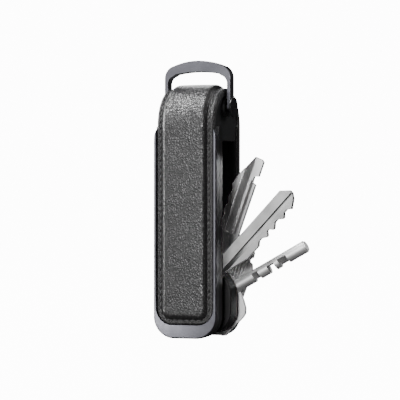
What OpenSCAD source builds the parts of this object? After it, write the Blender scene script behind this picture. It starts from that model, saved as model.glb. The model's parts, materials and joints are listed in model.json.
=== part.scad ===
// Key organiser: a leather strap bent over a moulded core, a metal front frame,
// three keys on a pivot post at the bottom and a carrying bail at the top.
// X is the width, Y the depth with the front at -Y, Z is up. The origin is the
// middle of the flat bottom end.

/* [Strap] */
// Width of the leather strap
strap_w = 21.6; // [20.8:0.1:21.8]
// Height of the centre that the strap bends around
arch_z = 76.2; // [76:0.1:78]
// Thickness of the outer leather
leather_t = 1.4; // [1.2:0.05:1.6]
// Thickness of the padded panel on the leather
panel_t = 1.4; // [1:0.05:1.6]
// Width of the padded panel at its foot
panel_w = 17.2; // [16:0.1:17.6]
// Width of the sloping edge of the padded panel
panel_bevel = 1.3; // [0.6:0.05:1.6]

/* [Frame] */
// Width of the metal front frame
frame_w = 24.2; // [24:0.1:24.6]
// Radius of its two bottom corners
frame_r = 7.9; // [7.5:0.1:8.4]
// Height of the solid chin under the strap
chin_h = 4.85; // [4.4:0.05:5]
// Height at which the side rails end
rail_top = 74.8; // [70:0.1:75.4]
// Radius of the soft front edge of the frame
frame_edge = 0.55; // [0.4:0.05:1.3]

/* [Keys] */
// Height of the pivot axis
pivot_z = 13.2; // [13:0.05:14]
// Lean of the upper key
upper_angle = 20; // [18:0.1:40]
// Lean of the middle key
middle_angle = 43.4; // [20:0.1:60]
// Lean of the lower key
lower_angle = 61; // [30:0.1:61.4]

// Width of the spacer block between the keys
block_w = 28.2; // [25:0.2:28.6]

/* [Bail] */
// Outer width of the bail
bail_w = 25.7; // [25.5:0.05:26]
// Height of the top of the bail
bail_top = 100.1; // [99.8:0.1:101]
// Depth of the bail bar
bail_depth = 3.9; // [3:0.1:4.2]

/* [Hidden] */
$fn = 64;

e = 0.01;

// Depths. The front leg and the back leg of the strap mirror each other.
lining_in = 11.1;
lining_t = 1.2;
leather_in = lining_in + lining_t;
leather_out = leather_in + leather_t;
panel_out = leather_out + panel_t;
frame_out = lining_in + 3;
plate_back = -7.8;
rear_plate_y = 9.8;
block_y0 = -4.8;
block_y1 = 2.2;
core_r = 11;
block_h = 25;
block_sides_z = 1.6;
block_foot_w = 7;
block_r = 8.2;
block_top_r = 9.5;

strap_foot = chin_h + 0.25;
strap_r = 5.5;
panel_foot = strap_foot + 1.8;
half_w = frame_w / 2;
opening_w = frame_w - 2;
opening_r = 6.2;
plate_foot = 0.2;
plate_top = 76;
rear_w = 21.6;
rear_r = 7;

// Post, washers and screws.
post_r = 2.4;
hole_r = post_r + 0.05;
flange_r = 4.5;
flange_t = 0.8;
thread_r = 1.5;
head_r = 3.8;
head_t = 1.8;
head_well_r = 4.2;
thin_t = 0.4;
thin_r = 5.5;
thick_r = 4;
small_screw_r = 0.8;
small_head_r = 1.5;
core_screw_z = 73.6;
core_screw_x = 6;
chin_screw_x = 5;
chin_screw_z = 2.6;

// Keys: where each starts in depth and how thick it is.
middle_y = -7.3;
middle_t = 2;
lower_y = 3.8;
lower_t = 1.8;
upper_y = 7.3;
upper_t = 1.8;

// Bail pivot.
bail_z = 83;
bail_shank_r = 1.2;
bail_hole_r = 1.25;
bail_eye_r = 2.6;
bail_leg_in = 11.4;
bail_head_r = 3.8;
bail_head_t = 0.6;
boss_out = 11.1;
core_w = 20.6;

// Extrudes an outline drawn in X and Z from depth y0 to depth y1.
module slab(y0, y1) {
  translate([0, y1, 0])
    rotate([90, 0, 0])
      linear_extrude(y1 - y0)
        children();
}

// A cylinder along Y from y0 to y1.
module along_y(r, y0, y1, x = 0, z = pivot_z) {
  translate([x, y1, z])
    rotate([90, 0, 0])
      cylinder(r = r, h = y1 - y0);
}

// A cylinder along X from x0 to x1 at the height of the bail pivot.
module along_x(r, x0, x1) {
  translate([x0, 0, bail_z])
    rotate([0, 90, 0])
      cylinder(r = r, h = x1 - x0);
}

// An outline with two round bottom corners and a square top.
module tongue(w, z0, z1, r) {
  translate([-w / 2, z0 + r])
    square([w, z1 - z0 - r]);
  translate([-w / 2 + r, z0])
    square([w - 2 * r, r + e]);
  for (s = [-1, 1])
    translate([s * (w / 2 - r), z0 + r])
      circle(r);
}

// A tongue with a shaped edge, its foot lying on the plane y = 0 and its face
// towards -Y. Each step is [how far in from the edge, how high above the foot].
module shaped_tongue(w, z0, z1, r, steps) {
  last = len(steps) - 1;
  top = steps[last][1];
  rotate([90, 0, 0]) {
    for (s = [-1, 1])
      translate([s * (w / 2 - r), z0 + r, 0])
        rotate_extrude()
          polygon(concat([[0, 0]], [for (p = steps) [r - p[0], p[1]]], [[0, top]]));
    translate([0, z1, 0])
      rotate([90, 0, 0])
        linear_extrude(z1 - z0 - r)
          polygon(concat([for (p = steps) [w / 2 - p[0], p[1]]],
                         [for (i = [last:-1:0]) [-w / 2 + steps[i][0], steps[i][1]]]));
    translate([-w / 2 + r, 0, 0])
      rotate([90, 0, 90])
        linear_extrude(w - 2 * r)
          polygon(concat([for (p = steps) [z0 + p[0], p[1]]], [[z0 + r, top], [z0 + r, 0]]));
  }
}

// The bend over the top with the same shaped edge, standing on the radius r0.
module shaped_bend(w, r0, steps) {
  last = len(steps) - 1;
  translate([0, 0, arch_z])
    intersection() {
      rotate([0, 90, 0])
        rotate_extrude($fn = 128)
          polygon(concat([for (p = steps) [r0 + p[1], w / 2 - p[0]]],
                         [for (i = [last:-1:0]) [r0 + steps[i][1], -w / 2 + steps[i][0]]]));
      translate([-50, -50, 0])
        cube([100, 100, 50]);
    }
}

// One strap layer: a front leg, a back leg and the bend over the top.
module strap_layer(w, r0, foot, r, steps) {
  translate([0, -r0, 0])
    shaped_tongue(w, foot, arch_z, r, steps);
  mirror([0, 1, 0])
    translate([0, -r0, 0])
      shaped_tongue(w, foot, arch_z, r, steps);
  shaped_bend(w, r0, steps);
}

frame_steps = concat([[0, 0]],
  [for (a = [0:15:90]) [frame_edge * (1 - cos(a)), 3 - frame_edge * (1 - sin(a))]]);
cap_steps = concat([[0, 0]], [for (a = [0:15:90]) [0.8 * (1 - cos(a)), 2.8 - 0.8 * (1 - sin(a))]]);
leather_steps = [[0, 0], [0, leather_t - 0.45], [0.12, leather_t - 0.18], [0.42, leather_t]];
lining_steps = [[0, 0], [0, lining_t]];
panel_steps = [[0, 0], [panel_bevel * 0.7, panel_t * 0.72], [panel_bevel, panel_t * 0.93],
               [panel_bevel + 0.5, panel_t]];

// Screws that hold the frame's chin to the front plate, put in from behind.
module frame_screw_solids() {
  for (s = [-1, 1]) {
    along_y(small_screw_r, -13, plate_back, s * chin_screw_x, chin_screw_z);
    along_y(small_head_r, plate_back - 0.8, plate_back, s * chin_screw_x, chin_screw_z);
  }
}

// Screws that hold the rear cap to the rear plate, put in from inside.
module rear_screw_solids() {
  for (s = [-1, 1]) {
    along_y(small_screw_r, rear_plate_y, lining_in + 1.8, s * chin_screw_x, chin_screw_z);
    along_y(small_head_r, rear_plate_y, rear_plate_y + 0.6, s * chin_screw_x, chin_screw_z);
  }
}

// Screws that hold both plates to the top core.
module core_screw_solids() {
  for (s = [-1, 1]) {
    along_y(small_screw_r, -lining_in, -4, s * core_screw_x, core_screw_z);
    along_y(small_head_r, -lining_in, -lining_in + 0.8, s * core_screw_x, core_screw_z);
    along_y(small_screw_r, 6, lining_in, s * core_screw_x, core_screw_z);
    along_y(small_head_r, lining_in - 0.6, lining_in, s * core_screw_x, core_screw_z);
  }
}

module front_frame() {
  color("slategray")
    difference() {
      translate([0, -lining_in, 0])
        shaped_tongue(frame_w, 0, rail_top, frame_r, frame_steps);
      slab(-frame_out - 1, -lining_in + 1)
        tongue(opening_w, chin_h, rail_top + 1, opening_r);
      for (s = [-1, 1])
        slab(-frame_out - 1, -lining_in + 1)
          polygon([[s * (half_w + 1), rail_top - 5], [s * half_w, rail_top - 4],
                   [s * (half_w - 0.25), rail_top - 2], [s * (half_w - 1), rail_top + e],
                   [s * (half_w + 1), rail_top + 1]]);
      frame_screw_solids();
    }
}

module front_plate() {
  color([0.05, 0.05, 0.06])
    difference() {
      slab(-lining_in, plate_back)
        tongue(frame_w, plate_foot, plate_top, frame_r);
      along_y(post_r, -lining_in - e, plate_back + e);
      along_y(flange_r, -lining_in - e, -lining_in + flange_t);
      frame_screw_solids();
      core_screw_solids();
    }
}

module rear_plate() {
  color([0.05, 0.05, 0.06])
    difference() {
      slab(rear_plate_y, lining_in)
        tongue(rear_w, plate_foot, plate_top, rear_r);
      along_y(post_r, rear_plate_y - e, lining_in + e);
      rear_screw_solids();
      core_screw_solids();
    }
}

module rear_cap() {
  color("slategray")
    difference() {
      mirror([0, 1, 0])
        translate([0, -lining_in, 0])
          shaped_tongue(rear_w, 0, 20, rear_r, cap_steps);
      translate([-20, 0, chin_h])
        cube([40, 40, 40]);
      rear_screw_solids();
    }
}

module strap_outer() {
  color([0.12, 0.12, 0.13])
    difference() {
      strap_layer(strap_w, leather_in, strap_foot, strap_r, leather_steps);
      along_y(head_well_r, 5, 20);
    }
}

module strap_lining() {
  color([0.07, 0.07, 0.07])
    difference() {
      strap_layer(strap_w, lining_in, strap_foot, strap_r, lining_steps);
      along_y(head_well_r, 5, 20);
    }
}

module padded_panel() {
  color([0.17, 0.17, 0.18])
    difference() {
      strap_layer(panel_w, leather_out, panel_foot, 3.2, panel_steps);
      along_y(head_well_r, 5, 20);
    }
}

// The moulded core that the strap bends over. It joins the tops of the plates
// and its two bosses carry the bail.
module top_core() {
  color([0.04, 0.04, 0.04])
    difference() {
      union() {
        intersection() {
          translate([-core_w / 2, 0, arch_z])
            rotate([0, 90, 0])
              cylinder(r = core_r, h = core_w, $fn = 128);
          translate([-20, -20, arch_z - e])
            cube([40, 40, 20]);
        }
        translate([-core_w / 2, plate_back, 71])
          cube([core_w, rear_plate_y - plate_back, arch_z - 71]);
        along_x(3.4, -boss_out, boss_out);
      }
      bail_screw_solids();
      core_screw_solids();
    }
}

module spacer_block() {
  color([0.04, 0.04, 0.04])
    difference() {
      slab(block_y0, block_y1) {
        tongue(block_w, block_sides_z, block_h - block_top_r, block_r);
        translate([-block_foot_w / 2, 0])
          square([block_foot_w, block_r]);
        translate([-block_w / 2 + block_top_r, block_sides_z + block_r])
          square([block_w - 2 * block_top_r, block_h - block_sides_z - block_r]);
        for (s = [-1, 1])
          translate([s * (block_w / 2 - block_top_r), block_h - block_top_r])
            circle(block_top_r);
      }
      along_y(post_r, block_y0 - e, block_y1 + e);
    }
}

// Points of an arc about [cx, cz] from angle a0 to a1.
function arc(cx, cz, r, a0, a1, n) =
  [for (i = [0:n]) [cx + r * cos(a0 + (a1 - a0) * i / n), cz + r * sin(a0 + (a1 - a0) * i / n)]];

bail_half = bail_w / 2;
bail_bar = 4.2;
bail_points = concat(
  arc(0, bail_top - 24.5, 24.5, 90, 71, 12),
  arc(bail_half - 4.8, bail_top - 6.4, 4.8, 62, 0, 16),
  [[bail_half, bail_z - bail_eye_r], [bail_leg_in, bail_z - bail_eye_r]],
  arc(bail_leg_in - 3, bail_top - bail_bar - 4.3, 3, 0, 72, 14),
  arc(0, bail_top - bail_bar - 43.6, 43.6, 79, 90, 10));

module bail() {
  color("slategray")
    difference() {
      slab(-bail_depth / 2, bail_depth / 2)
        polygon(concat(bail_points,
                       [for (i = [len(bail_points) - 2:-1:1])
                         [-bail_points[i][0], bail_points[i][1]]]));
      difference() {
        translate([-20, -4, bail_z - 4])
          cube([40, 8, 4]);
        along_x(bail_depth / 2, -20, 20);
      }
      along_x(bail_hole_r, -20, 20);
    }
}

module bail_screw_solids() {
  for (s = [0, 1])
    mirror([s, 0, 0]) {
      along_x(bail_shank_r, 5, bail_half + 0.2 + e);
      along_x(bail_head_r, bail_half + 0.2, bail_half + 0.2 + bail_head_t);
    }
}

module bail_screws() {
  color([0.06, 0.06, 0.06])
    difference() {
      bail_screw_solids();
      for (s = [-1, 1])
        translate([s * (bail_half + 0.2 + bail_head_t), 0, bail_z])
          cube([0.5, 5, 0.9], center = true);
    }
}

module pivot_post() {
  color("silver")
    difference() {
      union() {
        along_y(flange_r, -lining_in, -lining_in + flange_t);
        along_y(post_r, -lining_in, lining_in);
      }
      along_y(thread_r + 0.05, -3, lining_in + e);
    }
}

module pivot_screw() {
  color("gray")
    difference() {
      union() {
        along_y(head_r, lining_in, lining_in + head_t);
        along_y(thread_r, -2, lining_in + e);
      }
      translate([-head_r - 1, lining_in + head_t - 0.8, pivot_z - 0.65])
        cube([2 * head_r + 2, 2, 1.3]);
    }
}

module washer(r, y0, t) {
  difference() {
    along_y(r, y0, y0 + t);
    along_y(post_r, y0 - e, y0 + t + e);
  }
}

module thin_washers() {
  color("silver") {
    washer(thin_r, plate_back, thin_t);
    washer(thin_r, block_y0 - thin_t, thin_t);
    washer(thin_r, upper_y + upper_t + 0.1, rear_plate_y - upper_y - upper_t - 0.1);
  }
}

module spacer_washers() {
  color("silver") {
    washer(thick_r, block_y1, lower_y - block_y1 - 0.1);
    washer(thick_r, lower_y + lower_t + 0.1, upper_y - lower_y - lower_t - 0.2);
  }
}

module frame_screws() {
  color("gray")
    frame_screw_solids();
}

module rear_screws() {
  color("gray")
    rear_screw_solids();
}

module core_screws() {
  color("gray")
    core_screw_solids();
}

// Leans a key about the pivot. Its outline has the pivot at the origin and the
// blade up, and its thickness runs from y0 to y0 + t.
module key_at(angle, y0, t) {
  translate([0, 0, pivot_z])
    rotate([0, angle, 0])
      slab(y0, y0 + t)
        children();
}

// A straight groove in the front face of a blade, with a floor that slopes up
// from v0, where it is deepest, to v1.
module key_groove(angle, y0, depth, v0, v1, u0, u1) {
  translate([0, 0, pivot_z])
    rotate([0, angle, 0])
      translate([0, y0, u0])
        linear_extrude(u1 - u0)
          polygon([[v0, -1], [v1, -1], [v1, 0.04], [v0, depth]]);
}

upper_bow_side = [[9, -5.6], [11.6, -4], [12.4, -2], [12.7, 8], [12.6, 16.6], [12, 18.2],
                  [10.7, 18.9], [10.7, 19.7], [11.6, 20.6], [11.4, 22.4], [10.2, 23.4],
                  [7, 24.4]];
upper_blade = [[3.4, 26], [3.4, 45.8], [2, 46.2], [2, 48.5], [3.6, 49], [3.6, 54.5],
               [2.8, 55.2], [0, 55.4], [-3.3, 48.7], [-4, 47], [-4.4, 45.4], [-5, 43.8],
               [-5, 43], [-4.3, 41.4], [-4.3, 40.6], [-5, 39], [-5, 38.2], [-4.4, 36.6],
               [-4.4, 35.8], [-5, 34.2], [-5, 33.4], [-4.3, 31.8], [-4.3, 31], [-5, 29.4],
               [-5, 26]];

// The face of the bow that the inlay fills.
module upper_inlay_outline() {
  difference() {
    polygon([[7.8, -4.2], [10.6, -2.6], [11, 7], [9.8, 9.5],
             [-9.8, 9.5], [-11, 7], [-10.6, -2.6], [-7.8, -4.2]]);
    circle(6.2);
  }
}

module upper_key() {
  color("lightgray")
    difference() {
      key_at(upper_angle, upper_y, upper_t)
        difference() {
          polygon(concat(upper_bow_side, upper_blade,
                         [for (i = [len(upper_bow_side) - 1:-1:0])
                           [-upper_bow_side[i][0], upper_bow_side[i][1]]]));
          circle(hole_r);
        }
      upper_inlays();
      key_groove(upper_angle, upper_y, 0.6, -2.5, 0.6, 26, 60);
      key_groove(upper_angle, upper_y, 0.35, 1.2, 2.6, 26, 47);
      for (s = [-1, 1], v = [5.6:1.1:10.1])
        key_groove(upper_angle, upper_y, 0.3, s * v - 0.25, s * v + 0.25, 11, 22);
    }
}

module upper_inlays() {
  color([0.05, 0.05, 0.05]) {
    key_at(upper_angle, upper_y, 0.45)
      upper_inlay_outline();
    key_at(upper_angle, upper_y + upper_t - 0.45, 0.45)
      upper_inlay_outline();
  }
}

module upper_key_inlays() {
  upper_inlays();
}

module middle_key() {
  color("silver")
    difference() {
      key_at(middle_angle, middle_y, middle_t)
        difference() {
          union() {
            translate([0, 0.6])
              circle(9.8);
            polygon([[-2.9, 5], [2.1, 5], [2.1, 17.4], [4.8, 26], [4.8, 32], [3.7, 33.4],
                     [3.7, 34.8], [4.8, 36.4], [4.8, 37.2], [3.5, 38.2], [3.5, 39],
                     [4.8, 40], [4.8, 40.8], [3.5, 42.4], [3.5, 43.8], [4.8, 45.3],
                     [4.8, 46.1], [3.6, 47.4], [3.6, 48.8], [4.8, 50.2], [2.8, 53.3],
                     [1, 54.6], [-0.3, 54.6], [-2.9, 52]]);
          }
          circle(hole_r);
        }
      key_groove(middle_angle, middle_y, 0.6, 0.7, 2.4, 13, 60);
    }
}

rod_v = 1.7;
rod_r = 2.3;
rod_mid_y = lower_y + lower_t / 2;
lower_bow_side = [[4.6, -6], [9.4, -4.6], [13, -1.6], [15, 0.3], [15.4, 1.3], [12.8, 10.4],
                  [12, 11.9], [10.2, 13], [7, 13.7], [5.2, 13.7]];
// Cuts in the rod: start, end, how far from its axis it is cut flat, and the turn
// of the cut about the axis towards the front.
rod_cuts = [[21.5, 24, 0.2, 28], [28, 30.8, -0.6, 0], [32.6, 36.3, 0.3, 28]];

module lower_key() {
  color("silver")
    difference() {
      union() {
        key_at(lower_angle, lower_y, lower_t)
          polygon(concat(lower_bow_side,
                         [for (i = [len(lower_bow_side) - 1:-1:0])
                           [2 * rod_v - lower_bow_side[i][0], lower_bow_side[i][1]]]));
        translate([0, 0, pivot_z])
          rotate([0, lower_angle, 0])
            translate([rod_v, rod_mid_y, 11]) {
              cylinder(r = rod_r, h = 32.8);
              translate([0, 0, 32.8])
                cylinder(r = rod_r - 0.4, h = 0.5);
            }
      }
      translate([0, 0, pivot_z])
        rotate([0, lower_angle, 0])
          for (c = rod_cuts)
            translate([rod_v, rod_mid_y, c[0]])
              rotate([0, 0, -c[3]])
                translate([c[2], -4, 0])
                  cube([5, 8, c[1] - c[0]]);
      along_y(hole_r, 0, 20);
    }
}

front_frame();
front_plate();
rear_plate();
rear_cap();
strap_outer();
strap_lining();
padded_panel();
top_core();
spacer_block();
bail();
bail_screws();
pivot_post();
pivot_screw();
thin_washers();
spacer_washers();
frame_screws();
rear_screws();
core_screws();
upper_key();
upper_key_inlays();
middle_key();
lower_key();
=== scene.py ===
"""Looks of a leather key organiser: padded strap, metal frame, bail and three keys."""

import json
import logging
import math
from dataclasses import dataclass
from enum import Enum

import bmesh
import bpy
import numpy as np
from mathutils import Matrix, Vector


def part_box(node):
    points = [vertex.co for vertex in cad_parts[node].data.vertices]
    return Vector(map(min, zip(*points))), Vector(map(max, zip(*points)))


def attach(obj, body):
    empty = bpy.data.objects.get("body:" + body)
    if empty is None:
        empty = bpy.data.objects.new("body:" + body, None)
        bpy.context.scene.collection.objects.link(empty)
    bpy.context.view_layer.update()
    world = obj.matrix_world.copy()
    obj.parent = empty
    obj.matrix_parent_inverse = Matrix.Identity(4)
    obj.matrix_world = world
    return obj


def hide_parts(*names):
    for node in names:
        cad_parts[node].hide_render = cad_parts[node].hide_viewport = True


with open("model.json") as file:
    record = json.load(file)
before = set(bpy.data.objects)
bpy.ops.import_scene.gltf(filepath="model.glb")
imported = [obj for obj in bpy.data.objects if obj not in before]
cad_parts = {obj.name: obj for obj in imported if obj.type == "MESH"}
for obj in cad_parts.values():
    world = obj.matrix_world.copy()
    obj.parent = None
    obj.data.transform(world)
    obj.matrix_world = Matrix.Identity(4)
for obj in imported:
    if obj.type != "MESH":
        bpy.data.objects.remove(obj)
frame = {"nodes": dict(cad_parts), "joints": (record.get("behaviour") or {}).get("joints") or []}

LOG = logging.getLogger("key_organiser")
# One millimetre in Blender's metres
MM = 0.001
# Points closer than this are one point
SAME_POINT = 0.0001 * MM
RGB = tuple[float, float, float]
Feed = bpy.types.NodeSocket | float


class Brushing(Enum):
    """Direction in which a metal was finished, as the stretch of its fine lines."""

    ALONG_X = (60.0, 2600.0, 2600.0)
    ALONG_Z = (2600.0, 2600.0, 60.0)
    NONE = (900.0, 900.0, 900.0)


def link(tree: bpy.types.NodeTree, a: bpy.types.NodeSocket, b: bpy.types.NodeSocket) -> None:
    """Joins two sockets of a node tree."""
    tree.links.new(a, b)


def new_group(name: str, inputs: dict[str, float], outputs: list[str]) -> bpy.types.NodeTree:
    """Starts a shader node group with a Vector input and float sockets.

    Args:
        name: Name of the group.
        inputs: Name and default of each float input.
        outputs: Name of each float output.

    Returns:
        The group, with its two interface nodes named "in" and "out".
    """
    tree = bpy.data.node_groups.new(name, "ShaderNodeTree")
    tree.interface.new_socket("Vector", in_out="INPUT", socket_type="NodeSocketVector")
    for key, value in inputs.items():
        socket = tree.interface.new_socket(key, in_out="INPUT", socket_type="NodeSocketFloat")
        socket.default_value = value
    for key in outputs:
        tree.interface.new_socket(key, in_out="OUTPUT", socket_type="NodeSocketFloat")
    tree.nodes.new("NodeGroupInput").name = "in"
    tree.nodes.new("NodeGroupOutput").name = "out"
    return tree


def math_node(tree: bpy.types.NodeTree, kind: str, a: Feed, b: Feed) -> bpy.types.NodeSocket:
    """Adds a Math node.

    Args:
        tree: The tree it goes in.
        kind: Operation, such as MULTIPLY.
        a: First socket or number.
        b: Second socket or number.

    Returns:
        The node's output socket.
    """
    node = tree.nodes.new("ShaderNodeMath")
    node.operation = kind
    for i, value in enumerate((a, b)):
        if isinstance(value, bpy.types.NodeSocket):
            link(tree, value, node.inputs[i])
        else:
            node.inputs[i].default_value = value
    return node.outputs[0]


class SharedEffects:
    """Node groups that several finishes place with their own values."""

    # Noise that bends the creases, and how far it moves them
    WARP_SCALE, WARP_DETAIL, WARP_REACH = 500.0, 3.0, 0.5 * MM
    # How steeply a pebble rises from its crease, and how round its top is
    DOME_RISE, DOME_POWER = 3.0, 0.6
    # Share of the slow noise in the height of the grain
    UNEVEN = 0.5
    # Detail of the broad rubbed patches, and scale of the fine speckle
    PATCH_DETAIL, SPECKLE_SCALE = 5.0, 2200.0

    def __init__(self) -> None:
        """Builds each group once."""
        self.pebble = self._pebble()
        self.handling = self._handling()

    def _pebble(self) -> bpy.types.NodeTree:
        """Builds leather grain: small rounded pebbles with creases between them.

        Returns:
            The group, with its height and a mask that is 1 on the pebbles.
        """
        tree = new_group("leather_pebble", {"Pebbles": 1500.0, "Crease": 1.0}, ["Height", "Mask"])
        src, out = tree.nodes["in"], tree.nodes["out"]
        warp = tree.nodes.new("ShaderNodeTexNoise")
        warp.inputs["Scale"].default_value = self.WARP_SCALE
        warp.inputs["Detail"].default_value = self.WARP_DETAIL
        link(tree, src.outputs["Vector"], warp.inputs["Vector"])
        shift = tree.nodes.new("ShaderNodeVectorMath")
        shift.operation = "MULTIPLY_ADD"
        link(tree, warp.outputs["Color"], shift.inputs[0])
        shift.inputs[1].default_value = (self.WARP_REACH,) * 3
        link(tree, src.outputs["Vector"], shift.inputs[2])
        cells = tree.nodes.new("ShaderNodeTexVoronoi")
        cells.feature = "DISTANCE_TO_EDGE"
        link(tree, shift.outputs[0], cells.inputs["Vector"])
        link(tree, src.outputs["Pebbles"], cells.inputs["Scale"])
        rise = math_node(tree, "MULTIPLY", cells.outputs["Distance"], self.DOME_RISE)
        dome = math_node(tree, "MINIMUM", rise, 1.0)
        rounded = math_node(tree, "POWER", dome, self.DOME_POWER)
        height = math_node(tree, "MULTIPLY", rounded, src.outputs["Crease"])
        uneven = math_node(tree, "MULTIPLY", warp.outputs[0], self.UNEVEN)
        link(tree, math_node(tree, "ADD", height, uneven), out.inputs["Height"])
        link(tree, rounded, out.inputs["Mask"])
        return tree

    def _handling(self) -> bpy.types.NodeTree:
        """Builds soft uneven patches where hands and pockets have rubbed a surface.

        Returns:
            The group, with a mask of broad patches and a fine speckle.
        """
        tree = new_group("handling_marks", {"Patches": 120.0, "Amount": 0.5}, ["Mask", "Fine"])
        src, out = tree.nodes["in"], tree.nodes["out"]
        broad = tree.nodes.new("ShaderNodeTexNoise")
        broad.inputs["Detail"].default_value = self.PATCH_DETAIL
        link(tree, src.outputs["Vector"], broad.inputs["Vector"])
        link(tree, src.outputs["Patches"], broad.inputs["Scale"])
        fine = tree.nodes.new("ShaderNodeTexNoise")
        fine.inputs["Scale"].default_value = self.SPECKLE_SCALE
        link(tree, src.outputs["Vector"], fine.inputs["Vector"])
        link(tree, math_node(tree, "MULTIPLY", broad.outputs[0], src.outputs["Amount"]), out.inputs["Mask"])
        link(tree, fine.outputs[0], out.inputs["Fine"])
        return tree


class Shading:
    """A material under construction, with the parts every finish needs."""

    def __init__(self, name: str) -> None:
        """Starts the material with its Principled shader and Object coordinates.

        Args:
            name: Name of the material.
        """
        self.material = bpy.data.materials.new(name)
        self.material.use_nodes = True
        self.tree = self.material.node_tree
        self.shader = self.tree.nodes["Principled BSDF"]
        self.coords = self.tree.nodes.new("ShaderNodeTexCoord").outputs["Object"]

    def place(self, group: bpy.types.NodeTree, vector: bpy.types.NodeSocket,
              values: dict[str, float]) -> bpy.types.Node:
        """Places a shared effect.

        Args:
            group: The effect's node group.
            vector: Coordinates it reads.
            values: Its own setting of each input.

        Returns:
            The group node.
        """
        node = self.tree.nodes.new("ShaderNodeGroup")
        node.node_tree = group
        link(self.tree, vector, node.inputs["Vector"])
        for key, value in values.items():
            node.inputs[key].default_value = value
        return node

    def stretched(self, scale: RGB, lean: float = 0.0) -> bpy.types.NodeSocket:
        """Turns the coordinates about Y by a lean and then stretches them.

        Args:
            scale: Stretch along each axis.
            lean: Angle in radians by which the piece leans over.

        Returns:
            The socket of the stretched coordinates.
        """
        turn = self.tree.nodes.new("ShaderNodeMapping")
        turn.inputs["Rotation"].default_value = (0.0, -lean, 0.0)
        link(self.tree, self.coords, turn.inputs["Vector"])
        size = self.tree.nodes.new("ShaderNodeMapping")
        size.inputs["Scale"].default_value = scale
        link(self.tree, turn.outputs[0], size.inputs["Vector"])
        return size.outputs[0]

    def colour(self, mask: bpy.types.NodeSocket, low: RGB, high: RGB) -> None:
        """Feeds Base Color with a blend of two colours by a mask.

        Args:
            mask: 0 gives the low colour and 1 the high one.
            low: Colour where the mask is 0.
            high: Colour where the mask is 1.
        """
        mix = self.tree.nodes.new("ShaderNodeMix")
        mix.data_type = "RGBA"
        mix.inputs[6].default_value = (*low, 1.0)
        mix.inputs[7].default_value = (*high, 1.0)
        link(self.tree, mask, mix.inputs[0])
        link(self.tree, mix.outputs[2], self.shader.inputs["Base Color"])

    def roughness(self, mask: bpy.types.NodeSocket, low: float, high: float) -> None:
        """Feeds Roughness with a mask mapped between two values.

        Args:
            mask: Mask between 0 and 1.
            low: Roughness where the mask is 0.
            high: Roughness where the mask is 1.
        """
        spread = self.tree.nodes.new("ShaderNodeMapRange")
        spread.inputs["To Min"].default_value = low
        spread.inputs["To Max"].default_value = high
        link(self.tree, mask, spread.inputs["Value"])
        link(self.tree, spread.outputs[0], self.shader.inputs["Roughness"])

    def bump(self, height: bpy.types.NodeSocket, depth: float, strength: float) -> None:
        """Feeds Normal with a bump.

        Args:
            height: Height between 0 and 1.
            depth: Real depth of the bump in metres.
            strength: Share of that depth which shows.
        """
        node = self.tree.nodes.new("ShaderNodeBump")
        node.inputs["Distance"].default_value = depth
        node.inputs["Strength"].default_value = strength
        link(self.tree, height, node.inputs["Height"])
        link(self.tree, node.outputs[0], self.shader.inputs["Normal"])


@dataclass(frozen=True)
class LeatherFinish:
    """Dyed grained leather."""

    name: str
    crease: RGB
    top: RGB
    pebbles: float = 1150.0
    depth: float = 0.14 * MM
    strength: float = 0.8
    rough: tuple[float, float] = (0.4, 0.56)
    patches: float = 90.0
    wear: float = 0.6
    unworn: float = 0.6

    def build(self, effects: SharedEffects) -> bpy.types.Material:
        """Makes the material.

        Args:
            effects: The shared node groups.

        Returns:
            The finished material.
        """
        s = Shading(self.name)
        grain = s.place(effects.pebble, s.coords, {"Pebbles": self.pebbles})
        marks = s.place(effects.handling, s.coords, {"Patches": self.patches, "Amount": self.wear})
        tone = math_node(s.tree, "MULTIPLY", grain.outputs["Mask"],
                         math_node(s.tree, "ADD", marks.outputs["Mask"], self.unworn))
        s.colour(tone, self.crease, self.top)
        s.roughness(marks.outputs["Mask"], *self.rough)
        s.bump(grain.outputs["Height"], self.depth, self.strength)
        return s.material


@dataclass(frozen=True)
class MetalFinish:
    """Bare, plated or anodised metal."""

    name: str
    low: RGB
    high: RGB
    rough: tuple[float, float]
    brushing: Brushing = Brushing.NONE
    lean: float = 0.0
    depth: float = 0.004 * MM
    strength: float = 0.5
    patches: float = 150.0
    line_detail: float = 4.0

    def build(self, effects: SharedEffects) -> bpy.types.Material:
        """Makes the material.

        Args:
            effects: The shared node groups.

        Returns:
            The finished material.
        """
        s = Shading(self.name)
        s.shader.inputs["Metallic"].default_value = 1.0
        marks = s.place(effects.handling, s.coords, {"Patches": self.patches, "Amount": 1.0})
        lines = s.tree.nodes.new("ShaderNodeTexNoise")
        lines.inputs["Scale"].default_value = 1.0
        lines.inputs["Detail"].default_value = self.line_detail
        link(s.tree, s.stretched(self.brushing.value, self.lean), lines.inputs["Vector"])
        s.colour(marks.outputs["Mask"], self.low, self.high)
        s.roughness(lines.outputs[0], *self.rough)
        s.bump(lines.outputs[0], self.depth, self.strength)
        return s.material


@dataclass(frozen=True)
class MouldedFinish:
    """Moulded plastic or black coated metal with a fine spark texture."""

    name: str
    low: RGB
    high: RGB
    rough: tuple[float, float] = (0.38, 0.55)
    specular: float = 0.2
    depth: float = 0.02 * MM
    strength: float = 0.4
    patches: float = 200.0

    def build(self, effects: SharedEffects) -> bpy.types.Material:
        """Makes the material.

        Args:
            effects: The shared node groups.

        Returns:
            The finished material.
        """
        s = Shading(self.name)
        s.shader.inputs["Specular IOR Level"].default_value = self.specular
        marks = s.place(effects.handling, s.coords, {"Patches": self.patches, "Amount": 1.0})
        s.colour(marks.outputs["Mask"], self.low, self.high)
        s.roughness(marks.outputs["Fine"], *self.rough)
        s.bump(marks.outputs["Fine"], self.depth, self.strength)
        return s.material


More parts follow.
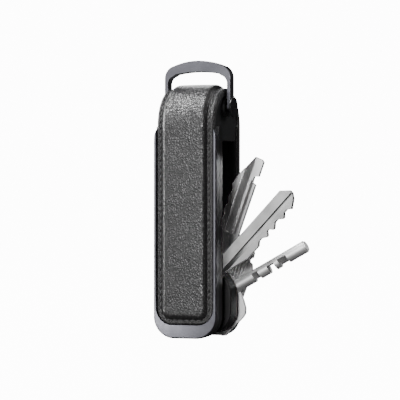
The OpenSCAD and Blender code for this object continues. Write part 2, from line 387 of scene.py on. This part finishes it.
def mesh_object(name: str, verts: list[Vector], faces: list[tuple[int, ...]]) -> bpy.types.Object:
    """Makes a smooth mesh object with outward normals.

    Args:
        name: Name of the piece.
        verts: Its points in the row frame, in metres.
        faces: Its faces as indices.

    Returns:
        The linked object.
    """
    mesh = bpy.data.meshes.new(name)
    mesh.from_pydata([tuple(v) for v in verts], [], faces)
    bm = bmesh.new()
    bm.from_mesh(mesh)
    bmesh.ops.remove_doubles(bm, verts=bm.verts, dist=SAME_POINT)
    bmesh.ops.recalc_face_normals(bm, faces=bm.faces)
    bm.to_mesh(mesh)
    bm.free()
    obj = bpy.data.objects.new(name, mesh)
    bpy.context.scene.collection.objects.link(obj)
    return obj


def bake(obj: bpy.types.Object) -> None:
    """Replaces an object's mesh with its evaluated one and clears its modifiers.

    Args:
        obj: The object, whose modifiers are all used up.
    """
    graph = bpy.context.evaluated_depsgraph_get()
    mesh = bpy.data.meshes.new_from_object(obj.evaluated_get(graph))
    obj.modifiers.clear()
    obj.data = mesh


def dress(obj: bpy.types.Object, material: bpy.types.Material) -> None:
    """Gives an object one material in every slot."""
    obj.data.materials.clear()
    obj.data.materials.append(material)


def settle(obj: bpy.types.Object, body: str, nodes: tuple[str, ...] = ()) -> None:
    """Rides a finished piece on its body and what it stands for.

    Args:
        obj: The finished piece.
        body: Body that it moves with.
        nodes: CAD nodes that it stands for.
    """
    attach(obj, body)
    if nodes:
        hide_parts(*nodes)
    LOG.info("%s: %d faces", obj.name, len(obj.data.polygons))


def auto_smooth(obj: bpy.types.Object, degrees: float = 32.0) -> None:
    """Sets smooth shading, with edges sharper than an angle left crisp.

    Args:
        obj: The object to shade.
        degrees: Angle past which an edge stays crisp.
    """
    bm = bmesh.new()
    bm.from_mesh(obj.data)
    for face in bm.faces:
        face.smooth = True
    limit = math.radians(degrees)
    for edge in bm.edges:
        edge.smooth = not (edge.is_manifold and edge.calc_face_angle(0.0) > limit)
    bm.to_mesh(obj.data)
    bm.free()


@dataclass
class StrapPath:
    """The line that the strap follows: up the front, over the bend, down the back."""

    foot: float
    arch_z: float
    radius: float
    end_rings: int = 27
    leg_rings: int = 34
    bend_rings: int = 66
    end_reach: float = 1.4

    @property
    def leg(self) -> float:
        """Length of one straight leg."""
        return self.arch_z - self.foot

    @property
    def length(self) -> float:
        """Length of the whole line."""
        return 2 * self.leg + math.pi * self.radius

    def point(self, x: float, s: float, height: float) -> Vector:
        """Finds a point on or above the line.

        Args:
            x: Place across the strap.
            s: Distance along the line from its front foot.
            height: Height above the line, outwards.

        Returns:
            The point in the row frame.
        """
        if s <= self.leg:
            return Vector((x, -self.radius - height, self.foot + s))
        turn = (s - self.leg) / self.radius
        if turn < math.pi:
            r = self.radius + height
            return Vector((x, -r * math.cos(turn), self.arch_z + r * math.sin(turn)))
        return Vector((x, self.radius + height, self.foot + self.length - s))

    def stations(self, corner: float) -> list[float]:
        """Chooses distances along the line, close together at the two ends.

        Args:
            corner: Radius of the corners at the two ends.

        Returns:
            The distances, from the front foot to the back foot.
        """
        reach, last = corner * self.end_reach, self.end_rings - 1
        near = [reach * (1 - math.cos(math.pi / 2 * i / last)) for i in range(self.end_rings)]
        straight = list(np.linspace(near[-1], self.leg, self.leg_rings)[1:])
        bend = list(np.linspace(self.leg, self.length - self.leg, self.bend_rings)[1:-1])
        return near + straight + bend + [self.length - s for s in reversed(near + straight)]


@dataclass
class StrapLayer:
    """One layer of the strap, with a shaped edge, a round-cornered foot at each end."""

    name: str
    path: StrapPath
    half_w: float
    corner: float
    edge: tuple[tuple[float, float], ...]
    groove_at: float = 0.0
    groove_depth: float = 0.0
    groove_width: float = 0.28 * MM
    crown: float = 0.0
    crown_fade: float = 2 * MM
    columns: int = 97

    def inset(self, x: float, s: float) -> float:
        """Measures how far in from its nearest edge a place on the strap is.

        Args:
            x: Place across the strap.
            s: Distance along the strap line.

        Returns:
            The distance from the nearest edge.
        """
        qx = abs(x) - (self.half_w - self.corner)
        qs = abs(s - self.path.length / 2) - (self.path.length / 2 - self.corner)
        return self.corner - math.hypot(max(qx, 0.0), max(qs, 0.0)) - min(max(qx, qs), 0.0)

    def height(self, x: float, s: float) -> float:
        """Finds the height of the surface above the strap line.

        Args:
            x: Place across the strap.
            s: Distance along the strap line.

        Returns:
            The height, with the edge, the stitch groove and the crown.
        """
        d = self.inset(x, s)
        h = float(np.interp(d, [p[0] for p in self.edge], [p[1] for p in self.edge]))
        if self.groove_depth:
            h -= self.groove_depth * math.exp(-(((d - self.groove_at) / self.groove_width) ** 2))
        return h + self.crown * (1 - (x / self.half_w) ** 2) * min(1.0, d / self.crown_fade)

    def build(self) -> bpy.types.Object:
        """Makes the closed mesh of the layer.

        Returns:
            The linked object.
        """
        stations = self.path.stations(self.corner)
        verts = [point for s in stations for point in self._ring(s)]
        return mesh_object(self.name, verts, self._faces(len(stations)))

    def _ring(self, s: float) -> list[Vector]:
        """Places the points of one ring round the layer.

        Args:
            s: Distance of the ring along the strap line.

        Returns:
            The points across the surface, and after them those of the underside.
        """
        from_end = min(s, self.path.length - s)
        fall = max(self.corner - from_end, 0.0)
        w = self.half_w - self.corner + math.sqrt(max(self.corner**2 - fall**2, 0.0))
        across = [w * math.sin(math.pi / 2 * c) for c in np.linspace(-1, 1, self.columns)]
        return ([self.path.point(x, s, self.height(x, s)) for x in across]
                + [self.path.point(x, s, 0.0) for x in across])

    def _faces(self, rings: int) -> list[tuple[int, ...]]:
        """Joins the rings with faces and closes the two ends.

        Args:
            rings: Number of rings.

        Returns:
            The faces as indices of points.
        """
        n = self.columns
        stride = 2 * n
        faces: list[tuple[int, ...]] = []
        for r in range(rings - 1):
            a, b = r * stride, (r + 1) * stride
            for c in range(n - 1):
                faces.append((a + c, a + c + 1, b + c + 1, b + c))
                faces.append((a + n + c, b + n + c, b + n + c + 1, a + n + c + 1))
            faces.append((a, b, b + n, a + n))
            faces.append((a + n - 1, a + 2 * n - 1, b + 2 * n - 1, b + n - 1))
        for a in (0, (rings - 1) * stride):
            for c in range(n - 1):
                faces.append((a + c, a + n + c, a + n + c + 1, a + c + 1))
        return faces


@dataclass
class ScrewWell:
    """The round opening through the back of the strap, over the pivot screw."""

    radius: float
    z: float
    y0: float = 5 * MM
    y1: float = 20 * MM
    sides: int = 64

    def cut(self, obj: bpy.types.Object) -> None:
        """Cuts the well out of a strap layer.

        Args:
            obj: The layer, as a closed mesh.
        """
        ring = [(self.radius * math.cos(a), self.radius * math.sin(a))
                for a in np.linspace(0, 2 * math.pi, self.sides + 1)[:-1]]
        verts = [Vector((x, y, self.z + z)) for y in (self.y0, self.y1) for x, z in ring]
        n = len(ring)
        faces: list[tuple[int, ...]] = [tuple(range(n)), tuple(range(n, 2 * n))]
        faces += [(i, (i + 1) % n, n + (i + 1) % n, n + i) for i in range(n)]
        tool = mesh_object("well_tool", verts, faces)
        modifier = obj.modifiers.new("well", "BOOLEAN")
        modifier.object = tool
        modifier.solver = "EXACT"
        bake(obj)
        bpy.data.objects.remove(tool)


@dataclass
class StitchRow:
    """Thread stitches at an even pitch along a line, made with Geometry Nodes."""

    pitch: float = 2.3 * MM
    length: float = 1.75 * MM
    thread: float = 0.23 * MM
    segments: int = 8
    rings: int = 6

    def tree(self) -> bpy.types.NodeTree:
        """Builds the node tree that turns a line into stitches.

        Returns:
            The tree, with inputs for the pitch, the stitch's length, its radius and its thread.
        """
        tree = bpy.data.node_groups.new("stitch_row", "GeometryNodeTree")
        face = tree.interface
        face.new_socket("Geometry", in_out="INPUT", socket_type="NodeSocketGeometry")
        for name in ("Pitch", "Stitch Length", "Thread Radius"):
            face.new_socket(name, in_out="INPUT", socket_type="NodeSocketFloat")
        face.new_socket("Thread", in_out="INPUT", socket_type="NodeSocketMaterial")
        face.new_socket("Geometry", in_out="OUTPUT", socket_type="NodeSocketGeometry")
        add = tree.nodes.new
        src, out = add("NodeGroupInput"), add("NodeGroupOutput")
        to_curve, resample = add("GeometryNodeMeshToCurve"), add("GeometryNodeResampleCurve")
        resample.mode = "LENGTH"
        ball = add("GeometryNodeMeshUVSphere")
        ball.inputs["Segments"].default_value = self.segments
        ball.inputs["Rings"].default_value = self.rings
        ball.inputs["Radius"].default_value = 1.0
        tangent, align = add("GeometryNodeInputTangent"), add("FunctionNodeAlignRotationToVector")
        align.axis = "Z"
        half, size = add("ShaderNodeMath"), add("ShaderNodeCombineXYZ")
        half.operation = "MULTIPLY"
        half.inputs[1].default_value = 0.5
        place, real = add("GeometryNodeInstanceOnPoints"), add("GeometryNodeRealizeInstances")
        smooth, paint = add("GeometryNodeSetShadeSmooth"), add("GeometryNodeSetMaterial")
        for a, b in (
            (src.outputs["Geometry"], to_curve.inputs[0]),
            (to_curve.outputs[0], resample.inputs["Curve"]),
            (src.outputs["Pitch"], resample.inputs["Length"]),
            (resample.outputs[0], place.inputs["Points"]),
            (ball.outputs["Mesh"], place.inputs["Instance"]),
            (tangent.outputs[0], align.inputs["Vector"]),
            (align.outputs[0], place.inputs["Rotation"]),
            (src.outputs["Stitch Length"], half.inputs[0]),
            (src.outputs["Thread Radius"], size.inputs[0]),
            (src.outputs["Thread Radius"], size.inputs[1]),
            (half.outputs[0], size.inputs[2]),
            (size.outputs[0], place.inputs["Scale"]),
            (place.outputs[0], real.inputs[0]),
            (real.outputs[0], smooth.inputs[0]),
            (smooth.outputs[0], paint.inputs["Geometry"]),
            (src.outputs["Thread"], paint.inputs["Material"]),
            (paint.outputs[0], out.inputs[0]),
        ):
            link(tree, a, b)
        return tree

    def sew(self, name: str, line: list[Vector], thread: bpy.types.Material) -> bpy.types.Object:
        """Sews a closed line.

        Args:
            name: Name of the piece.
            line: Points of the closed line in the row frame.
            thread: Material of the thread.

        Returns:
            The stitches as one plain mesh.
        """
        mesh = bpy.data.meshes.new(name)
        n = len(line)
        mesh.from_pydata([tuple(p) for p in line], [(i, (i + 1) % n) for i in range(n)], [])
        obj = bpy.data.objects.new(name, mesh)
        bpy.context.scene.collection.objects.link(obj)
        modifier = obj.modifiers.new("stitches", "NODES")
        tree = self.tree()
        modifier.node_group = tree
        values = {"Pitch": self.pitch, "Stitch Length": self.length,
                  "Thread Radius": self.thread, "Thread": thread}
        for item in tree.interface.items_tree:
            if item.in_out == "INPUT" and item.name in values:
                modifier[item.identifier] = values[item.name]
        bake(obj)
        return obj


@dataclass
class LeatherStrap:
    """The outer leather, its lining, the padded panel and the stitches round it."""

    # Each edge from the outside in, as shares of its width and of its rise or drop
    ROUND_EDGE = ((0.0, 1.0), (0.15, 0.5), (0.5, 0.14), (1.0, 0.0))
    PADDED_EDGE = ((0.0, 0.0), (0.1, 0.18), (0.5, 0.6), (0.85, 0.86), (1.15, 0.96), (1.6, 1.0))

    edge_round: float = 0.5 * MM
    stitch_inset: float = 1.5 * MM
    groove_depth: float = 0.3 * MM
    strap_corner: float = 5.5 * MM
    panel_corner: float = 3.2 * MM
    panel_bevel: float = 1.3 * MM
    panel_crown: float = 0.12 * MM
    well_gap: float = 0.4 * MM
    thread_sink: float = 0.12 * MM
    crisp_angle: float = 50.0
    seam_corner_points: int = 12
    seam_side_points: int = 220

    def build(self, finishes: dict[str, bpy.types.Material]) -> None:
        """Builds and dresses the strap in place of its plain solids.

        Args:
            finishes: The part's finishes by name.
        """
        low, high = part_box("strap_outer")
        lining_low, lining_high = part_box("strap_lining")
        panel_low, panel_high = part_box("padded_panel")
        arch_z = high.z - high.y
        lining_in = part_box("rear_plate")[1].y
        head_low, head_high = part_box("pivot_screw")
        well = ScrewWell(head_high.x + self.well_gap, (head_low.z + head_high.z) / 2)
        t = high.y - lining_high.y
        e = self.edge_round
        outer = StrapLayer(
            "strap_leather", StrapPath(low.z, arch_z, lining_high.y), high.x, self.strap_corner,
            tuple((inwards * e, t - drop * e) for inwards, drop in self.ROUND_EDGE),
            self.stitch_inset, self.groove_depth)
        lining = StrapLayer(
            "strap_inner_leather", StrapPath(lining_low.z, arch_z, lining_in), lining_high.x,
            self.strap_corner, ((0.0, lining_high.y - lining_in), (1.0, lining_high.y - lining_in)))
        p, b = panel_high.y - high.y, self.panel_bevel
        panel = StrapLayer(
            "strap_padding", StrapPath(panel_low.z, arch_z, high.y), panel_high.x,
            self.panel_corner,
            tuple((inwards * b, rise * p) for inwards, rise in self.PADDED_EDGE),
            crown=self.panel_crown)
        for layer, node, finish, slot in (
                (outer, "strap_outer", "leather", "leather"),
                (lining, "strap_lining", "lining", "lining"),
                (panel, "padded_panel", "panel", "leather")):
            obj = layer.build()
            well.cut(obj)
            auto_smooth(obj, self.crisp_angle)
            dress(obj, finishes[finish])
            settle(obj, "body", (node,))
        stitches = StitchRow().sew("strap_stitches", self._seam(outer, t), finishes["thread"])
        settle(stitches, "body")

    def _seam(self, layer: StrapLayer, thickness: float) -> list[Vector]:
        """Finds the closed seam that runs round the strap in its groove.

        Args:
            layer: The outer leather.
            thickness: Its thickness.

        Returns:
            Points of the seam, the right side first.
        """
        w = layer.half_w - self.stitch_inset
        r = layer.corner - self.stitch_inset
        total = layer.path.length
        h = thickness - self.thread_sink
        quarter = np.linspace(0, math.pi / 2, self.seam_corner_points)
        ends = [(w - r + r * math.cos(a), self.stitch_inset + r - r * math.sin(a)) for a in quarter]
        first = ends[0][1]
        rise = [(w, s) for s in np.linspace(first, total - first, self.seam_side_points)]
        right = list(reversed(ends)) + rise[1:-1] + [(x, total - s) for x, s in ends]
        left = [(-x, s) for x, s in reversed(right)]
        return [layer.path.point(x, s, h) for x, s in right + left]


@dataclass
class SoftEdged:
    """A hard part whose corners are broken with a small round."""

    node: str
    body: str
    slot: str
    width: float
    segments: int = 2
    angle: float = 35.0
    merge: float = 0.002 * MM
    flat_angle: float = 0.6

    def build(self, finish: bpy.types.Material) -> bpy.types.Object:
        """Builds the part in place of its sharp solid.

        Args:
            finish: Material of the part.

        Returns:
            The finished piece.
        """
        source = frame["nodes"][self.node]
        obj = bpy.data.objects.new(self.node + "_soft", source.data.copy())
        bpy.context.scene.collection.objects.link(obj)
        bm = bmesh.new()
        bm.from_mesh(obj.data)
        bmesh.ops.remove_doubles(bm, verts=bm.verts, dist=self.merge)
        bmesh.ops.dissolve_limit(bm, angle_limit=math.radians(self.flat_angle),
                                 verts=bm.verts, edges=bm.edges)
        bmesh.ops.recalc_face_normals(bm, faces=bm.faces)
        bm.to_mesh(obj.data)
        bm.free()
        if obj.data.has_custom_normals:
            obj.data.attributes.remove(obj.data.attributes["custom_normal"])
        auto_smooth(obj)
        bevel = obj.modifiers.new("round", "BEVEL")
        bevel.width = self.width
        bevel.segments = self.segments
        bevel.limit_method = "ANGLE"
        bevel.angle_limit = math.radians(self.angle)
        bevel.harden_normals = True
        bake(obj)
        dress(obj, finish)
        settle(obj, self.body, (self.node,))
        return obj


@dataclass(frozen=True)
class SoftLight:
    """One square soft light of the studio, which looks at the middle of the part."""

    name: str
    place: RGB
    size: float
    power: float

    def hang(self, target: Vector) -> bpy.types.Object:
        """Adds the light.

        Args:
            target: The point that it looks at.

        Returns:
            The light's object.
        """
        data = bpy.data.lights.new(self.name, "AREA")
        data.size = self.size
        data.energy = self.power
        light = bpy.data.objects.new(self.name, data)
        light.location = self.place
        light.rotation_euler = (target - light.location).to_track_quat("-Z", "Y").to_euler()
        bpy.context.scene.collection.objects.link(light)
        return light


@dataclass
class Studio:
    """Pale sweep, soft lights and the camera."""

    LIGHTS = (
        SoftLight("key_light", (-0.5, -0.6, 0.5), 0.4, 3.0),
        SoftLight("top_light", (-0.36, -0.27, 0.82), 0.24, 16.0),
        SoftLight("left_rim", (-0.86, 0.12, 0.12), 0.4, 14.0),
        SoftLight("front_card", (-0.33, -0.82, 0.12), 0.42, 1.75),
        SoftLight("near_light", (0.06, -0.9, 0.18), 0.22, 6.5),
        SoftLight("back_right", (0.8, 0.5, 0.55), 0.5, 5.0),
        SoftLight("back_left", (-0.55, 0.85, 0.5), 0.5, 5.0),
    )
    WHITE = (1.0, 1.0, 1.0, 1.0)

    azimuth: float = math.radians(22.0)
    distance: float = 0.83
    aim: RGB = (0.0003, 0.0, 0.0496)
    lens: float = 206.0
    sensor: float = 36.0
    far_clip: float = 20.0
    light_aim: RGB = (0.0, 0.0, 0.05)
    white: float = 13.0
    room_light: float = 0.09
    glint_x: float = -8 * MM
    glint_z: float = 3 * MM
    glint_distance: float = 45 * MM
    glint_size: float = 12 * MM
    glint_power: float = 0.009
    floor_front: float = -2.0
    floor_half_width: float = 3.0
    sweep_start: float = 1.2
    sweep_radius: float = 0.6
    sweep_top: float = 3.0
    sweep_steps: int = 24
    paper: float = 0.05
    paper_rough: float = 0.9

    def build(self) -> None:
        """Sets the camera, the sweep, the lights and the room."""
        self._camera()
        self._sweep()
        for light in self.LIGHTS:
            light.hang(Vector(self.light_aim))
        self._chin_glint()
        self._room()

    def _glow(self, tree: bpy.types.NodeTree) -> bpy.types.NodeSocket:
        """Makes a strength that is white where the camera looks and nothing elsewhere.

        Args:
            tree: Node tree of the material or the room.

        Returns:
            The socket of the strength.
        """
        seen = tree.nodes.new("ShaderNodeLightPath").outputs["Is Camera Ray"]
        return math_node(tree, "MULTIPLY", seen, self.white)

    def _room(self) -> None:
        """Sets a dim room that the camera sees as white, like the sweep."""
        world = bpy.data.worlds.new("studio")
        world.use_nodes = True
        tree = world.node_tree
        background = tree.nodes["Background"]
        background.inputs["Color"].default_value = self.WHITE
        strength = math_node(tree, "ADD", self._glow(tree), self.room_light)
        link(tree, strength, background.inputs["Strength"])
        bpy.context.scene.world = world

    def _camera(self) -> None:
        """Adds the camera, level with the middle of the part."""
        data = bpy.data.cameras.new("camera")
        data.lens = self.lens
        data.sensor_width = self.sensor
        data.clip_end = self.far_clip
        camera = bpy.data.objects.new("camera", data)
        away = Vector((math.sin(self.azimuth), -math.cos(self.azimuth), 0.0))
        camera.location = Vector(self.aim) + away * self.distance
        camera.rotation_euler = (-away).to_track_quat("-Z", "Y").to_euler()
        bpy.context.scene.collection.objects.link(camera)
        bpy.context.scene.camera = camera

    def _chin_glint(self) -> None:
        """Adds a small near light for the metal frame alone, where its chin mirrors it to the camera."""
        chin = Vector((self.glint_x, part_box("front_frame")[0].y, self.glint_z))
        mirrored = Vector((-math.sin(self.azimuth), -math.cos(self.azimuth), 0.0))
        place = chin + mirrored * self.glint_distance
        light = SoftLight("chin_glint", tuple(place), self.glint_size, self.glint_power).hang(chin)
        light.visible_camera = False
        takers = bpy.data.collections.new("chin_glint_takers")
        takers.objects.link(frame["nodes"]["front_frame"])
        light.light_linking.receiver_collection = takers

    def _sweep(self) -> None:
        """Adds the floor that curves up into a backdrop."""
        start, r = self.sweep_start, self.sweep_radius
        line = [(self.floor_front, 0.0), (start, 0.0)]
        line += [(start + r * math.sin(a), r - r * math.cos(a))
                 for a in np.linspace(0, math.pi / 2, self.sweep_steps)[1:]]
        line.append((start + r, self.sweep_top))
        sides = (-self.floor_half_width, self.floor_half_width)
        verts = [Vector((x, y, z)) for y, z in line for x in sides]
        faces = [(2 * i, 2 * i + 1, 2 * i + 3, 2 * i + 2) for i in range(len(line) - 1)]
        floor = mesh_object("floor", verts, faces)
        floor.data.shade_smooth()
        material = bpy.data.materials.new("paper_sweep")
        material.use_nodes = True
        tree = material.node_tree
        shader = tree.nodes["Principled BSDF"]
        shader.inputs["Base Color"].default_value = (self.paper,) * 3 + (1.0,)
        shader.inputs["Roughness"].default_value = self.paper_rough
        shader.inputs["Emission Color"].default_value = self.WHITE
        link(tree, self._glow(tree), shader.inputs["Emission Strength"])
        dress(floor, material)


def make_finishes(leans: dict[str, float]) -> dict[str, bpy.types.Material]:
    """Builds every finish of the part.

    Args:
        leans: Lean of each key in radians, which its brushing follows.

    Returns:
        Name of the finish and its material.
    """
    effects = SharedEffects()
    grey, light = (0.055, 0.055, 0.063), (0.11, 0.11, 0.123)
    nickel, bright = (0.42, 0.42, 0.43), (0.8, 0.8, 0.81)
    # Painted light and shade: the three keys are the same nickel, but each gets its own base tones, darker
    # on the middle key and brighter on the upper and lower keys, to stand in for how the lamps fall on each
    key_painted_light_and_shade = {"upper_key": (0.5, 0.95), "middle_key": (0.13, 0.42), "lower_key": (0.62, 0.98)}
    black, soft_black = (0.004, 0.004, 0.0045), (0.014, 0.014, 0.015)
    recipes = {
        "leather": LeatherFinish("strap_leather", (0.003, 0.003, 0.0032), (0.015, 0.015, 0.0155)),
        "panel": LeatherFinish("padding_leather", (0.004, 0.004, 0.0042), (0.022, 0.022, 0.0225),
                               strength=0.6, rough=(0.28, 0.38)),
        "lining": LeatherFinish("lining_leather", (0.004, 0.004, 0.004), (0.013, 0.013, 0.013),
                                pebbles=2200.0, depth=0.04 * MM),
        "thread": LeatherFinish("waxed_thread", (0.03, 0.03, 0.03), (0.09, 0.09, 0.092),
                                pebbles=4000.0, depth=0.03 * MM),
        "gunmetal": MetalFinish("anodised_grey", grey, light, (0.26, 0.4)),
        "black_metal": MouldedFinish("black_coating", black, soft_black, (0.25, 0.4)),
        "moulded": MouldedFinish("moulded_black", black, soft_black),
        "inlay": MouldedFinish("key_inlay_black", black, soft_black, (0.3, 0.5)),
        "steel": MetalFinish("turned_steel", nickel, bright, (0.2, 0.35), Brushing.ALONG_X),
    }
    for key, lean in leans.items():
        low, high = key_painted_light_and_shade[key]
        rough = (0.4, 0.55) if key == "lower_key" else (0.24, 0.4)
        # Each key's material is one nickel with painted light or painted shade in its base colour
        recipes[key] = MetalFinish("nickel_painted_light_" + key, (low,) * 3, (high,) * 3, rough,
                                   Brushing.ALONG_Z, lean)
    return {name: recipe.build(effects) for name, recipe in recipes.items()}


def key_leans() -> dict[str, float]:
    """Reads each key's lean from its joint, whose lower limit is the folded place.

    Returns:
        Name of the key and its lean in radians.
    """
    return {j["child"]: math.radians(-j["range_deg"][0]) for j in frame["joints"]
            if j["child"].endswith("_key")}


def main() -> None:
    """Builds the scene in order."""
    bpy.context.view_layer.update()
    Studio().build()
    finishes = make_finishes(key_leans())
    LeatherStrap().build(finishes)
    for part, finish in (
            (SoftEdged("bail", "bail", "gunmetal", 0.22 * MM, angle=40.0), "gunmetal"),
            (SoftEdged("front_plate", "body", "black_plate", 0.25 * MM), "black_metal"),
            (SoftEdged("rear_plate", "body", "black_plate", 0.2 * MM), "black_metal"),
            (SoftEdged("spacer_block", "body", "core", 0.5 * MM, segments=3), "moulded"),
            (SoftEdged("bail_screws", "body", "black_screw", 0.2 * MM, segments=3), "black_metal"),
            (SoftEdged("upper_key", "upper_key", "key_steel", 0.14 * MM), "upper_key"),
            (SoftEdged("middle_key", "middle_key", "key_steel", 0.14 * MM), "middle_key"),
            (SoftEdged("lower_key", "lower_key", "key_steel", 0.14 * MM), "lower_key")):
        part.build(finishes[finish])
    for node, finish in (
            ("front_frame", "gunmetal"), ("rear_cap", "gunmetal"), ("top_core", "moulded"),
            ("pivot_post", "steel"), ("pivot_screw", "steel"), ("thin_washers", "steel"),
            ("spacer_washers", "steel"), ("frame_screws", "steel"), ("rear_screws", "steel"),
            ("core_screws", "steel"), ("upper_key_inlays", "inlay")):
        dress(frame["nodes"][node], finishes[finish])
        LOG.info("%s: finished", node)


if __name__ == "__main__":
    logging.basicConfig(level=logging.INFO)
    main()
